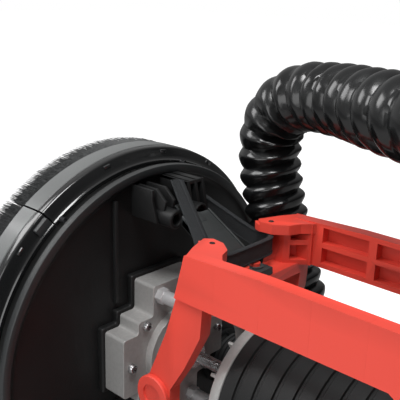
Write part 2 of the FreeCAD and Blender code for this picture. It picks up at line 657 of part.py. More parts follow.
# ---------------------------------------------------------------- motor
def build_motor():
    keep("motor_front_bell", turned("bell", [
        ("bell_front", "motor_bearing"), ("bell_front", 20), ("bell_front + 8", 30),
        ("bell_front + 12", "shell_inner"), ("bell_back", "shell_inner"), ("bell_back", 36),
        ("bell_front + 11", 26), ("bell_front + 7", 18),
        ("bell_front + 7", "motor_bearing")]))
    keep("motor_casing", turned("casing", [
        ("bell_back", "casing_inner"), ("bell_back", "shell_inner"),
        (332, "shell_inner"), (332, "casing_inner")]))
    bridge = turned("bridge_disc", [
        (246, "motor_bearing"), (246, "casing_inner"), (254, "casing_inner"), (254, "motor_bearing")])
    openings = []
    for i in range(6):
        angle = math.radians(60 * i + 30)
        openings.append(rod(f"bridge_opening_{i}", 8, 10, (245, 26 * math.cos(angle), 26 * math.sin(angle))))
    keep("bearing_bridge", cut("bridge", bridge, *openings))
    keep("motor_bearings", group("motor_bearing_set", *[
        ring(f"motor_bearing_{i}", "motor_bearing", "motor_shaft", 7, (start, 0, 0))
        for i, start in enumerate(("bell_front", 247))]))
    keep("stator", ring("stator_pack", "casing_inner", 27, 50, (165, 0, 0)))
    keep("motor_shaft", turned("motor_axle", [
        (112, 0), (112, 8), (121, 8), (121, "motor_shaft"), (254, "motor_shaft"), (254, 0)]))
    keep("armature_core", ring("armature", 26, "motor_shaft", 46, (167, 0, 0)))
    keep("commutator", ring("commutator_ring", 12, "motor_shaft", 14, (224, 0, 0)))
    blades = [ring("fan_hub", 10, "motor_shaft", 10, (148, 0, 0)), ring("fan_disc", 33, 9, 2, (148, 0, 0))]
    for i in range(9):
        turn = FreeCAD.Rotation(V(1, 0, 0), 40 * i)
        corner = turn.multVec(V(149, 9, -0.8))
        blade = block(f"fan_blade_{i}", (9, 24, 1.6), corner)
        blade.Placement = FreeCAD.Placement(corner, turn)
        blades.append(blade)
    keep("cooling_fan", fuse("fan", *blades))
    carbons = []
    holders = []
    for side in (-1, 1):
        y = 12.1 if side > 0 else -26.1
        carbons.append(block(f"carbon_{side}", (6, 14, 8), (228, y, -4)))
        low = 18 if side > 0 else -39.4
        outer = block(f"holder_{side}", (10, 21.4, 12), (226, low, -6))
        inner = block(f"holder_room_{side}", (6, 21.4, 8), (228, low, -4))
        holders.append(cut(f"brush_holder_{side}", outer, inner))
    keep("carbon_brushes", group("carbon_set", *carbons))
    keep("brush_holders", group("holder_set", *holders))
    board = block("board", (46, 50, 1.6), (270, -25, -26))
    chips = [block("board_chip_0", (14, 14, 9), (276, -18, -24.4)),
             block("board_chip_1", (20, 10, 14), (292, 6, -24.4))]
    keep("control_board", fuse("control_board_body", board, *chips))


# ---------------------------------------------------------------- boom, grip and air path
def build_boom():
    body = turned("adapter_body", [
        (332, 41), (332, "shell_inner"), (338, "shell_inner"), (376, 23), (402, 23), (402, "boom_radius"),
        ("boom_front", "boom_radius"), ("boom_front", 21), (338, 41)])
    spigot = rod("adapter_spigot", "inlet_radius", "inlet_top - 30", ("inlet_x", 0, 30), "z")
    bore = rod("adapter_bore", "inlet_radius - 2", "inlet_top - 25", ("inlet_x", 0, 25), "z")
    room = turned("adapter_room", [(332, 0), (332, 41), (338, 41), ("boom_front", 21), ("boom_front", 0)])
    keep("air_adapter", cut("adapter", fuse("adapter_solid", body, spigot), bore, room))
    keep("hose_cuff_rear", ring("cuff_rear", "inlet_radius + 3", "inlet_radius", "cuff_length",
                                ("inlet_x", 0, "inlet_top - cuff_length"), "z"))
    keep("boom_tube", ring("boom", "boom_radius", "boom_bore", "boom_back - boom_front",
                           ("boom_front", 0, 0)))
    keep("boom_sleeve", turned("sleeve", [
        (470, "boom_radius"), (470, 22), (474, 24), (646, 24), (650, 22), (650, "boom_radius")]))


def build_grip():
    profile = [("grip_front", -20), ("grip_front + 12", -34), ("grip_back - 40", -36), ("grip_back - 20", -40),
               ("grip_back", -39), ("grip_back", 22), ("grip_back - 10", 27), ("grip_front + 14", 27),
               ("grip_front", 20)]
    half = pressed("grip_profile", "XZ", profile, 25, (0, 0, 0), soften=5)
    room = block("grip_room", (150, 20, 11.4), (868, 0, -31))
    shell = cut("grip_half", half,
                rod("grip_tube_room", "boom_radius", 260, (820, 0, 0)), room,
                block("trigger_slot", (41, 8.2, 20), (884.5, 0, -44)),
                block("dial_slot", (18, 3.7, 20), (983, 0, -44)),
                rod("gland_hole", 5, 30, ("grip_back - 25", 0, "gland_z")))
    keep("grip_far", cut("grip_far_body", shell, rod("lock_hole", 5.05, 10, (940, 16, -26), "y")))
    keep("grip_near", flipped("grip_near_body", shell, V(0, 1, 0)))
    keep("trigger", pressed("trigger_body", "XZ", [
        (885, -42), (888, -44), (921, -44), (925, -42), (925, -31), (885, -31)], 16, (0, -8, 0)))
    keep("lock_button", fuse("lock_button_body", rod("lock_shank", 5, 13, (940, 14, -26), "y"),
                             rod("lock_tip", 4, 1, (940, 27, -26), "y")))
    keep("speed_dial", rod("dial", 8, 7, (992, -3.5, -30.6), "y"))
    keep("switch_module", block("switch_box", (44, 20, 6.4), (884, -10, -26.2)))
    keep("cable_gland", turned("gland", [
        ("grip_back - 12", 0), ("grip_back - 12", 5), ("grip_back", 5), ("grip_back", 7), ("grip_back + 6", 7),
        ("grip_back + 14", 5), ("grip_back + 14", 3.2), ("grip_back - 6", 3.2), ("grip_back - 6", 0)],
        (0, 0, "gland_z")))
    port = [("boom_back - 14", "spigot_bore"), ("boom_back - 14", "boom_bore - swivel_clearance"),
            ("grip_back + 0.5", "boom_bore - swivel_clearance"), ("grip_back + 0.5", 21),
            ("spigot_front - 2", 21), ("spigot_front", "spigot_radius"), ("spigot_back", "spigot_radius"),
            ("spigot_back", "spigot_bore")]
    keep("vacuum_port", turned("vacuum_spigot", port))


# ---------------------------------------------------------------- suction hose
HOSE_ROUTE = [
    (74, 73, -45), (94, 73, -45), (112, 75, -35), (120, 76, -13), (113, 76, 13), (99, 76, 44),
    (87, 76, 79), (78, 76, 115),
    (82, 74, 143), (105, 69, 160), (140, 54, 164), (180, 26, 167), (222, 0, 169), (268, -10, 170),
    (310, -8, 160), (338, -3, 137), (352, 0, 106), (352, 0, 70)]


def build_hose():
    """Tube of straight runs joined by tangent arcs along the route."""
    points = [V(*point) for point in HOSE_ROUTE]
    radius = size_of("hose_diameter") / 2
    edges = []
    here = points[0]
    for before, corner, after in zip(points, points[1:], points[2:]):
        back = before - corner
        ahead = after - corner
        turn = math.pi - back.getAngle(ahead)
        trim = 0.45 * min(back.Length, ahead.Length)
        bend = trim / math.tan(turn / 2)
        print(f"hose bend at {tuple(corner)}: radius {bend:.0f}, turn {math.degrees(turn):.0f}")
        arc_start = corner + back.normalize() * trim
        arc_end = corner + ahead.normalize() * trim
        middle_way = (back + ahead).normalize()
        reach = bend / math.cos(turn / 2) - bend
        edges.append(Part.LineSegment(here, arc_start).toShape())
        edges.append(Part.Arc(arc_start, corner + middle_way * reach, arc_end).toShape())
        here = arc_end
    edges.append(Part.LineSegment(here, points[-1]).toShape())
    path = Part.Wire(edges)
    first_run = (points[1] - points[0]).normalize()
    section = Part.Wire([Part.Circle(points[0], first_run, radius).toShape()])
    tube = path.makePipeShell([section], True, False)
    share = tube.Volume / (math.pi * radius ** 2 * path.Length)
    print(f"hose length {path.Length:.0f}, volume over section times length {share:.4f}")
    keep("suction_hose", shaped("hose", tube))


# ---------------------------------------------------------------- build, check and write
def check_document():
    for thing in doc.Objects:
        if {"Invalid", "Error"} & set(thing.State):
            raise RuntimeError(f"{thing.Label} failed: {thing.State}")
    for node, piece in PIECES.items():
        if piece.Shape.isNull() or not piece.Shape.isValid() or piece.Shape.Volume <= 0:
            raise RuntimeError(f"{node} has no valid shape")


def main():
    build_pad()
    build_gearbox()
    build_hood()
    build_rim()
    build_gimbal()
    build_straps()
    build_fork()
    build_motor()
    build_boom()
    build_grip()
    build_hose()
    doc.recompute()
    check_document()
    os.makedirs("parts", exist_ok=True)
    for node, piece in PIECES.items():
        piece.Shape.exportStep(f"parts/{node}.step")
    print(f"{len(PIECES)} pieces written")


main()
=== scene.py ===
"""Looks of a long-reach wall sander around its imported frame. Metres, same frame as the CAD."""
import json
import math
import random

import bmesh
import bpy
from mathutils import Matrix, Quaternion, Vector, noise


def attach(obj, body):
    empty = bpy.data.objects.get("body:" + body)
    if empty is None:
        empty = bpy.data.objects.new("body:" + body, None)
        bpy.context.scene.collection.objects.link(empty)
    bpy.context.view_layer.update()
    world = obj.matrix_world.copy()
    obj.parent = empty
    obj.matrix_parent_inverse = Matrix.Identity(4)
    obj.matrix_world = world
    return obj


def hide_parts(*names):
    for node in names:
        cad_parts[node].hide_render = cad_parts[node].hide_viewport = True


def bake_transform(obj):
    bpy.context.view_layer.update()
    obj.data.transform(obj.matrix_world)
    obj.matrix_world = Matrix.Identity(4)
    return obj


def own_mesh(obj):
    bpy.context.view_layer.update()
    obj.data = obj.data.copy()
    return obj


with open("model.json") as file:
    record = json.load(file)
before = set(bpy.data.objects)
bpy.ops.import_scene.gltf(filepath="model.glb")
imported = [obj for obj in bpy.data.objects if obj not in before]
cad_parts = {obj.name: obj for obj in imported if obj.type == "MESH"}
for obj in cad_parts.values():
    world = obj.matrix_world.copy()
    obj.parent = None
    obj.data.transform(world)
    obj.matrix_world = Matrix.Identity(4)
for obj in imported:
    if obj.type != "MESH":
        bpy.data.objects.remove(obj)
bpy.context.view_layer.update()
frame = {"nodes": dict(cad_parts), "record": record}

NODES = frame["nodes"]
BODY = {node: body for body, members in frame["record"]["behaviour"]["bodies"].items() for node in members}
SLOT = {part["node"]: part["material_slot"] for part in frame["record"]["subparts"]}
MM = 0.001
CRISP, RIBBED, ROUND = 35, 60, 80       # degrees: edges sharper than this aren't shaded smooth
UNSTRETCHED = (1, 1, 1)
GIMBAL_X = 100                          # millimetres: where the head's two axes cross
PIN_X, PIN_Z = 70, 91                   # the pin that holds a strap on the hood


# ---------------------------------------------------------------- camera
def add_camera():
    data = bpy.data.cameras.new("camera")
    data.sensor_width = 36
    data.lens = 63
    data.clip_start = 0.01
    camera = bpy.data.objects.new("camera", data)
    bpy.context.scene.collection.objects.link(camera)
    place = Vector((0.3498, -0.2904, 0.2268))
    aim = Vector((0.1100, -0.0258, 0.1138))
    look = (aim - place).to_track_quat("-Z", "Y")
    roll = Quaternion((0, 0, 1), math.radians(1.8))
    camera.matrix_world = Matrix.Translation(place) @ (look @ roll).to_matrix().to_4x4()
    bpy.context.scene.camera = camera


add_camera()


# ---------------------------------------------------------------- materials
class Look:
    """A procedural material, built from noise in the object's own frame."""

    def __init__(self, name, rough, metal=0.0, coat=0.0):
        self.material = bpy.data.materials.new(name)
        self.material.use_nodes = True
        self.nodes = self.material.node_tree.nodes
        self.links = self.material.node_tree.links
        self.shader = self.nodes["Principled BSDF"]
        self.shader.inputs["Roughness"].default_value = rough
        self.shader.inputs["Metallic"].default_value = metal
        self.shader.inputs["Coat Weight"].default_value = coat
        self.shader.inputs["Coat Roughness"].default_value = 0.12
        self.place = self.nodes.new("ShaderNodeTexCoord")
        self.last_bump = None

    def noise(self, scale, detail, stretch=UNSTRETCHED):
        mapping = self.nodes.new("ShaderNodeMapping")
        mapping.inputs["Scale"].default_value = stretch
        self.links.new(self.place.outputs["Object"], mapping.inputs["Vector"])
        texture = self.nodes.new("ShaderNodeTexNoise")
        texture.inputs["Scale"].default_value = scale
        texture.inputs["Detail"].default_value = detail
        self.links.new(mapping.outputs["Vector"], texture.inputs["Vector"])
        return texture.outputs[0]

    def cells(self, scale):
        texture = self.nodes.new("ShaderNodeTexVoronoi")
        texture.inputs["Scale"].default_value = scale
        self.links.new(self.place.outputs["Object"], texture.inputs["Vector"])
        return texture.outputs[0]

    def weave(self, scale, direction="X", coords="UV", profile="SIN", waviness=0.4):
        """Bands across a direction of the UV map or of the object."""
        texture = self.nodes.new("ShaderNodeTexWave")
        texture.bands_direction = direction
        texture.wave_profile = profile
        texture.inputs["Scale"].default_value = scale
        texture.inputs["Distortion"].default_value = waviness
        self.links.new(self.place.outputs[coords], texture.inputs["Vector"])
        return texture.outputs[1]

    def ranged(self, source, low, high, start=0.3, end=0.7):
        """Values from start to end, stretched to run from low to high."""
        node = self.nodes.new("ShaderNodeMapRange")
        node.inputs["From Min"].default_value = start
        node.inputs["From Max"].default_value = end
        node.inputs["To Min"].default_value = low
        node.inputs["To Max"].default_value = high
        self.links.new(source, node.inputs["Value"])
        return node.outputs["Result"]

    def mixed(self, factor, first, second):
        node = self.nodes.new("ShaderNodeMix")
        node.data_type = "RGBA"
        self.links.new(factor, node.inputs[0])
        for socket, value in ((node.inputs[6], first), (node.inputs[7], second)):
            if isinstance(value, tuple):
                socket.default_value = (*value, 1)
            else:
                self.links.new(value, socket)
        return node.outputs[2]

    def color(self, value):
        self.links.new(value, self.shader.inputs["Base Color"])
        return self

    def rough(self, source, low, high):
        self.links.new(self.ranged(source, low, high), self.shader.inputs["Roughness"])
        return self

    def bump(self, source, depth):
        node = self.nodes.new("ShaderNodeBump")
        node.inputs["Distance"].default_value = depth
        node.inputs["Strength"].default_value = 1
        self.links.new(source, node.inputs["Height"])
        if self.last_bump:
            self.links.new(self.last_bump, node.inputs["Normal"])
        self.last_bump = node.outputs["Normal"]
        self.links.new(self.last_bump, self.shader.inputs["Normal"])
        return self

    def edges(self):
        """1 on sharp convex edges, where a part is handled most."""
        geometry = self.nodes.new("ShaderNodeNewGeometry")
        return self.ranged(geometry.outputs["Pointiness"], 0, 1, 0.53, 0.60)

    def upward(self):
        """1 on faces that look straight up, where dust settles."""
        geometry = self.nodes.new("ShaderNodeNewGeometry")
        split = self.nodes.new("ShaderNodeSeparateXYZ")
        self.links.new(geometry.outputs["Normal"], split.inputs[0])
        return split.outputs[2]


RED = (0.72, 0.062, 0.040)
DUST = (0.55, 0.54, 0.52)


def shade(color, factor):
    return tuple(channel * factor for channel in color)


def moulded(name, color, rough, spread=0.08, grain=0.00003, grain_scale=1400, edge=1.25, coat=0.0, dust=0.04,
            shine=0.5):
    """Moulded plastic or rubber: mottled colour, uneven gloss, fine grain, paler worn edges, a little dust on top."""
    look = Look(name, rough, coat=coat)
    look.shader.inputs["Specular IOR Level"].default_value = shine
    broad = look.noise(28, 4)
    fine = look.noise(grain_scale, 2)
    base = look.mixed(look.ranged(broad, 0, 1), shade(color, 0.88), shade(color, 1.08))
    base = look.mixed(look.ranged(fine, 0, 0.35), base, shade(color, 0.75))
    worn = tuple(min(1, channel * edge + 0.004) for channel in color)
    base = look.mixed(look.edges(), base, worn)
    if dust:
        film = look.ranged(look.upward(), 0, dust, 0.4, 1)
        base = look.mixed(film, base, DUST)
    look.color(base).rough(broad, rough - spread, rough + spread).bump(fine, grain)
    return look.material


def fork_look():
    """Red plastic with faint sink marks across the arms; each mark is bumped and also darkened with painted shade."""
    look = Look("fork_red", 0.42)
    broad = look.noise(28, 4)
    fine = look.noise(1400, 2)
    marks = look.weave(11, "X", "Object", "SAW", 0.15)
    base = look.mixed(look.ranged(broad, 0, 1), shade(RED, 0.90), shade(RED, 1.06))
    # painted shade: the colour darkens along each sink mark, as if its hollow were in shade
    base = look.mixed(look.ranged(marks, 0, 0.12, 0.0, 1.0), base, shade(RED, 0.8))
    base = look.mixed(look.edges(), base, shade(RED, 1.14))
    look.color(base).rough(broad, 0.37, 0.47).bump(fine, 0.00003).bump(marks, 0.0014)
    return look.material


def metal(name, color, rough, grain=0.00002, grain_scale=500, stretch=UNSTRETCHED, bare=1.0):
    """Metal with broad blotches and a fine grain, which can be stretched into brush marks."""
    look = Look(name, rough, metal=bare)
    broad = look.noise(30, 4)
    fine = look.noise(grain_scale, 3, stretch)
    base = look.mixed(look.ranged(broad, 0, 1), shade(color, 0.88), color)
    base = look.mixed(look.ranged(fine, 0, 0.4), base, shade(color, 0.7))
    look.color(base).rough(fine, rough - 0.08, rough + 0.12).bump(fine, grain)
    return look.material


def abrasive_look():
    look = Look("abrasive", 0.9)
    grit = look.cells(1500)
    look.color(look.mixed(look.ranged(grit, 0, 1, 0.1, 0.7), (0.55, 0.43, 0.28), (0.22, 0.15, 0.09)))
    look.bump(grit, 0.0002)
    return look.material


def foam_look():
    look = Look("foam", 0.85)
    pores = look.cells(900)
    broad = look.noise(40, 4)
    base = look.mixed(look.ranged(pores, 0, 1, 0.05, 0.5), (0.008, 0.008, 0.009), (0.035, 0.035, 0.037))
    base = look.mixed(look.ranged(broad, 0, 0.4), base, (0.05, 0.05, 0.05))
    look.color(base).bump(pores, 0.0004)
    return look.material


def bristle_look():
    look = Look("bristle", 0.45)
    strand = look.noise(700, 2)
    base = look.mixed(look.ranged(strand, 0, 1), (0.010, 0.0105, 0.011), (0.070, 0.073, 0.074))
    look.color(base).rough(strand, 0.4, 0.65)
    return look.material


def elastic_look():
    look = Look("elastic", 0.7)
    rib = look.weave(9)
    thread = look.weave(60, "Y")
    fuzz = look.noise(1800, 3)
    base = look.mixed(look.ranged(fuzz, 0, 1), (0.013, 0.015, 0.017), (0.030, 0.034, 0.038))
    base = look.mixed(look.ranged(rib, 0, 0.3), base, (0.006, 0.007, 0.008))
    look.color(base).bump(rib, 0.00012).bump(thread, 0.00006).bump(fuzz, 0.00005)
    return look.material


def hose_look():
    look = Look("hose", 0.22, coat=0.15)
    broad = look.noise(55, 5)
    fine = look.noise(420, 3)
    base = look.mixed(look.ranged(broad, 0, 1), (0.0030, 0.0032, 0.0034), (0.0085, 0.0090, 0.0095))
    look.color(base).rough(broad, 0.17, 0.27).bump(fine, 0.00003)
    return look.material


LOOKS = {
    "red_plastic": moulded("red", RED, 0.42, 0.05, edge=1.12, dust=0.01),
    "plastic_black": moulded("black", (0.0060, 0.0062, 0.0064), 0.48, grain=0.00006, grain_scale=900, edge=2.2,
                             dust=0, shine=0.3),
    "gloss_black": moulded("gloss", (0.006, 0.0064, 0.0068), 0.17, 0.05, grain=0.00001, edge=2.5, coat=0.5,
                           dust=0.02),
    "hose_black": hose_look(),
    "cast_aluminium": metal("cast", (0.47, 0.465, 0.455), 0.42, grain=0.0001, grain_scale=420, bare=0.4),
    "tube_aluminium": metal("tube", (0.66, 0.66, 0.68), 0.3, grain=0.00001, grain_scale=300, stretch=(0.04, 1, 1)),
    "steel": metal("steel", (0.58, 0.58, 0.59), 0.25, grain=0.00001, grain_scale=900, stretch=(0.2, 1, 1)),
    "brass": metal("brass", (0.72, 0.50, 0.20), 0.3),
    "rubber": moulded("rubber", (0.014, 0.015, 0.016), 0.62, grain=0.0001, grain_scale=700, edge=2.2),
    "foam": foam_look(),
    "abrasive": abrasive_look(),
    "bristle": bristle_look(),
    "carbon": moulded("carbon", (0.03, 0.03, 0.03), 0.6),
    "board_green": moulded("board", (0.02, 0.16, 0.06), 0.35),
}
GREY = moulded("grey", (0.018, 0.020, 0.021), 0.45, grain=0.00006, edge=1.8)
# painted reflection: grey that stands in for the white surroundings reflected in the rim's glossy outer wall
PAINTED_REFLECTION_GREY = moulded("band_painted_reflection", (0.105, 0.110, 0.110), 0.34, grain=0.00002, edge=1.4, coat=0.3)
ELASTIC = elastic_look()
TONGUE = moulded("tongue", (0.013, 0.016, 0.017), 0.55, grain=0.00009, grain_scale=800, edge=1.8)
COPPER = metal("copper", (0.70, 0.30, 0.13), 0.3)
ZINC = metal("zinc", (0.68, 0.68, 0.69), 0.36, bare=0.5)
DARK_STEEL = metal("dark_steel", (0.03, 0.03, 0.033), 0.45, bare=0.4)

for name, node in NODES.items():
    node.data.materials.clear()
    node.data.materials.append(LOOKS[SLOT[name]])


# ---------------------------------------------------------------- mesh helpers
FRAMES = {      # along an axis, and the two directions across it
    "x": (Vector((1, 0, 0)), Vector((0, 1, 0)), Vector((0, 0, 1))),
    "y": (Vector((0, 1, 0)), Vector((0, 0, 1)), Vector((1, 0, 0))),
    "z": (Vector((0, 0, 1)), Vector((1, 0, 0)), Vector((0, 1, 0))),
}


def shown(name, mesh, looks, angle=CRISP):
    """Object for a finished mesh, smooth except across sharp edges."""
    for material in looks:
        mesh.materials.append(material)
    mesh.shade_smooth()
    mesh.set_sharp_from_angle(angle=math.radians(angle))
    thing = bpy.data.objects.new(name, mesh)
    bpy.context.scene.collection.objects.link(thing)
    return thing


def wired(name, points, faces, look):
    """Object for thin wires or strands, given in metres."""
    mesh = bpy.data.meshes.new(name)
    mesh.from_pydata(points, [], faces)
    return shown(name, mesh, [look], ROUND)


def settle(thing, body, replaces):
    """Fix a piece to a body, and hide the CAD nodes it replaces."""
    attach(thing, body)
    if replaces:
        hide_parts(*replaces)
    return thing


class Kit:
    """Collects small solids, given in millimetres, into one piece."""

    def __init__(self):
        self.bm = bmesh.new()

    def _bevel(self, verts, width, segments=2):
        edges = list({edge for vert in verts for edge in vert.link_edges})
        bmesh.ops.bevel(self.bm, geom=edges, offset=width, segments=segments, profile=0.5,
                        affect="EDGES", clamp_overlap=True)

    def box(self, low, high, bevel, turn=None):
        verts = bmesh.ops.create_cube(self.bm, size=1)["verts"]
        low, high = Vector(low), Vector(high)
        size = Matrix.Diagonal((*(high - low), 1))
        matrix = Matrix.Translation((low + high) / 2) @ (turn or Matrix.Identity(4)) @ size
        bmesh.ops.transform(self.bm, matrix=matrix, verts=verts)
        self._bevel(verts, bevel)

    def spokes(self, angles, offset, half, bevel, at=(0, 0, 0), axis="X"):
        """Boxes round an axis through a point; at 0 degrees a box's centre is offset from that point."""
        for angle in angles:
            spin = Matrix.Rotation(math.radians(angle), 4, axis)
            centre = Vector(at) + spin @ Vector(offset)
            self.box(centre - Vector(half), centre + Vector(half), bevel, spin)

    def prism(self, outline, plane, low, high, bevel, segments=2):
        """Outline in a plane, stretched between two values on the third axis."""
        spot = {"xz": lambda a, b, c: (a, c, b), "xy": lambda a, b, c: (a, b, c), "yz": lambda a, b, c: (c, a, b)}
        bottom = [self.bm.verts.new(spot[plane](a, b, low)) for a, b in outline]
        top = [self.bm.verts.new(spot[plane](a, b, high)) for a, b in outline]
        faces = [self.bm.faces.new(bottom), self.bm.faces.new(list(reversed(top)))]
        count = len(outline)
        for i in range(count):
            j = (i + 1) % count
            faces.append(self.bm.faces.new((bottom[i], top[i], top[j], bottom[j])))
        bmesh.ops.recalc_face_normals(self.bm, faces=faces)
        self._bevel(bottom + top, bevel, segments)

    def turn(self, profile, at=(0, 0, 0), axis="x", steps=48, first=0, last=360, closed=False, slots=None):
        """(distance along the axis, radius) points turned about an axis through a point."""
        along, side, up = FRAMES[axis]
        full = last - first >= 360
        count = steps if full else steps + 1
        rows = []
        for k in range(count):
            angle = math.radians(first + (last - first) * k / steps)
            out = side * math.cos(angle) + up * math.sin(angle)
            rows.append([self.bm.verts.new(Vector(at) + along * x + out * r) for x, r in profile])
        size = len(profile)
        for k in range(count if full else count - 1):
            here, there = rows[k], rows[(k + 1) % count]
            for i in range(size if closed else size - 1):
                j = (i + 1) % size
                face = self.bm.faces.new((here[i], here[j], there[j], there[i]))
                face.material_index = slots[i] if slots else 0
        if closed and not full:
            self.bm.faces.new(rows[0])
            self.bm.faces.new(list(reversed(rows[-1])))
        return self

    def screw(self, at, radius, height, axis="x", sign=1):
        """Pan head with a round socket; sign says which way along the axis it looks."""
        top, floor = sign * height, sign * height * 0.4
        for profile in ([(0, radius), (top * 0.5, radius), (top * 0.85, radius * 0.85), (top, radius * 0.6)],
                        [(top, radius * 0.6), (top, radius * 0.45)],
                        [(top, radius * 0.45), (floor, radius * 0.42), (floor, 0)]):
            self.turn(profile, at, axis, 24)

    def mesh(self, name):
        """The collected solids as one mesh, in metres."""
        bmesh.ops.remove_doubles(self.bm, verts=self.bm.verts, dist=0.0005)
        bmesh.ops.recalc_face_normals(self.bm, faces=self.bm.faces)
        bmesh.ops.transform(self.bm, matrix=Matrix.Scale(MM, 4), verts=self.bm.verts)
        mesh = bpy.data.meshes.new(name)
        self.bm.to_mesh(mesh)
        self.bm.free()
        return mesh

    def done(self, name, look, body, replaces, slot):
        """Turn the collected solids into a piece; look is a material or a list of them."""
        looks = look if isinstance(look, list) else [look]
        settle(shown(name, self.mesh(name), looks), body, replaces)

    def stands_for(self, name, look, node):
        """The piece that is shown in place of one CAD node."""
        self.done(name, look, BODY[node], (node,), SLOT[node])

    def extra(self, name, slot, body="root"):
        """A piece with no CAD node of its own."""
        self.done(name, LOOKS[slot], body, (), slot)


def clean_mesh(node, name):
    """Welded copy of a CAD node's mesh with its flat faces joined."""
    source = NODES[node].data
    bm = bmesh.new()
    bm.from_mesh(source)
    bmesh.ops.remove_doubles(bm, verts=bm.verts, dist=2e-6)
    bmesh.ops.dissolve_limit(bm, angle_limit=math.radians(0.5), verts=bm.verts, edges=bm.edges)
    bm.verts.index_update()
    points = [vert.co.copy() for vert in bm.verts]
    faces = [[vert.index for vert in face.verts] for face in bm.faces]
    bm.free()
    mesh = bpy.data.meshes.new(name)
    mesh.from_pydata(points, [], faces)
    return mesh


def soften(node, width, look=None, segments=2):
    """Copy of a CAD node with rounded edges, shown in its place. Width in millimetres."""
    name, angle = node + "_soft", 30
    thing = shown(name, clean_mesh(node, name), [look or LOOKS[SLOT[node]]], angle)
    bevel = thing.modifiers.new("edges", "BEVEL")
    bevel.width = width * MM
    bevel.segments = segments
    bevel.limit_method = "ANGLE"
    bevel.angle_limit = math.radians(angle)
    bevel.harden_normals = True
    bevel.use_clamp_overlap = True
    settle(thing, BODY[node], (node,))


def halves(mesh, name, look, at_x):
    """Cut a mesh across X into its front and rear objects, with extra rings every 3 mm along it."""
    made = []
    step = 0.003
    for side in ("front", "rear"):
        bm = bmesh.new()
        bm.from_mesh(mesh)
        low = min(vert.co.x for vert in bm.verts)
        high = max(vert.co.x for vert in bm.verts)
        for k in range(1, int((high - low) / step)):
            everything = bm.verts[:] + bm.edges[:] + bm.faces[:]
            bmesh.ops.bisect_plane(bm, geom=everything, plane_co=(low + k * step, 0, 0), plane_no=(1, 0, 0))
        everything = bm.verts[:] + bm.edges[:] + bm.faces[:]
        bmesh.ops.bisect_plane(bm, geom=everything, plane_co=(at_x, 0, 0), plane_no=(1, 0, 0),
                               clear_outer=side == "front", clear_inner=side == "rear")
        part = bpy.data.meshes.new(f"{name}_{side}")
        bm.to_mesh(part)
        bm.free()
        made.append(shown(f"{name}_{side}", part, [look]))
    return made


# ---------------------------------------------------------------- suction hose
HOSE_ROUTE = [
    (0.074, 0.073, -0.045), (0.094, 0.073, -0.045), (0.112, 0.075, -0.035), (0.120, 0.076, -0.013),
    (0.113, 0.076, 0.013), (0.099, 0.076, 0.044), (0.087, 0.076, 0.079), (0.078, 0.076, 0.115),
    (0.082, 0.074, 0.143), (0.105, 0.069, 0.160), (0.140, 0.054, 0.164), (0.180, 0.026, 0.167),
    (0.222, 0.000, 0.169), (0.268, -0.010, 0.170), (0.310, -0.008, 0.160), (0.338, -0.003, 0.137),
    (0.352, 0.000, 0.106), (0.352, 0.000, 0.070)]
HOSE_RADIUS = 0.0209
HOSE_PITCH = (0.0110, 0.0165)       # from rib to rib, in the slack lower part and in the stretched top
STRETCH_START, STRETCH_RUN = 0.16, 0.12
CREASE_DEPTH, FOLD_DEPTH = 0.0040, 0.0024
RISING_SHARE = 0.62                 # of a rib's width, before its crest
HOSE_SIDES = 96
ROWS_PER_RIB = 12


def spline(points):
    """Points along the quadratic curve that the route's corners pull on."""
    corners = [Vector(point) for point in points]
    line, per_span = [], 40
    for i in range(1, len(corners) - 1):
        start = corners[0] if i == 1 else (corners[i - 1] + corners[i]) / 2
        end = corners[-1] if i == len(corners) - 2 else (corners[i] + corners[i + 1]) / 2
        for k in range(per_span):
            t = k / per_span
            line.append(start * (1 - t) ** 2 + corners[i] * 2 * t * (1 - t) + end * t ** 2)
    line.append(corners[-1])
    return line


class Way:
    """Evenly spaced stations on a line, each with a frame that doesn't twist."""

    def __init__(self, line):
        spacing, near, far = 0.0005, 4, 16      # far and near: stations that a bend and a tangent look across
        self.length = sum((b - a).length for a, b in zip(line, line[1:]))
        count = int(self.length / spacing)
        self.step = self.length / count
        self.points = [line[0]]
        walked = 0.0
        for a, b in zip(line, line[1:]):
            span = (b - a).length
            while len(self.points) <= count and len(self.points) * self.step <= walked + span + 1e-9:
                self.points.append(a.lerp(b, (len(self.points) * self.step - walked) / span))
            walked += span
        last = len(self.points) - 1
        self.tangents = [
            (self.points[min(i + near, last)] - self.points[max(i - near, 0)]).normalized() for i in range(last + 1)]
        side = self.tangents[0].orthogonal().normalized()
        self.sides = []
        for tangent in self.tangents:
            side = (side - tangent * side.dot(tangent)).normalized()
            self.sides.append(side.copy())
        self.bends = []
        for i in range(last + 1):
            low, high = max(i - far, 0), min(i + far, last)
            self.bends.append((self.tangents[high] - self.tangents[low]) / ((high - low) * self.step))

    def at(self, distance):
        """Centre, two directions across and the bend at a distance along the line."""
        place = min(max(distance / self.step, 0), len(self.points) - 1)
        i = min(int(place), len(self.points) - 2)
        part = place - i
        side = self.sides[i].lerp(self.sides[i + 1], part).normalized()
        tangent = self.tangents[i].lerp(self.tangents[i + 1], part).normalized()
        return (self.points[i].lerp(self.points[i + 1], part), side, tangent.cross(side),
                self.bends[i].lerp(self.bends[i + 1], part))


def rib_count(way):
    """Number of ribs passed at each station of the hose."""
    passed = [0.0]
    for i in range(1, len(way.points)):
        share = min(1.0, max(0.0, (i * way.step - STRETCH_START) / STRETCH_RUN))
        pitch = HOSE_PITCH[0] + (HOSE_PITCH[1] - HOSE_PITCH[0]) * share * share * (3 - 2 * share)
        passed.append(passed[-1] + way.step / pitch)
    return passed


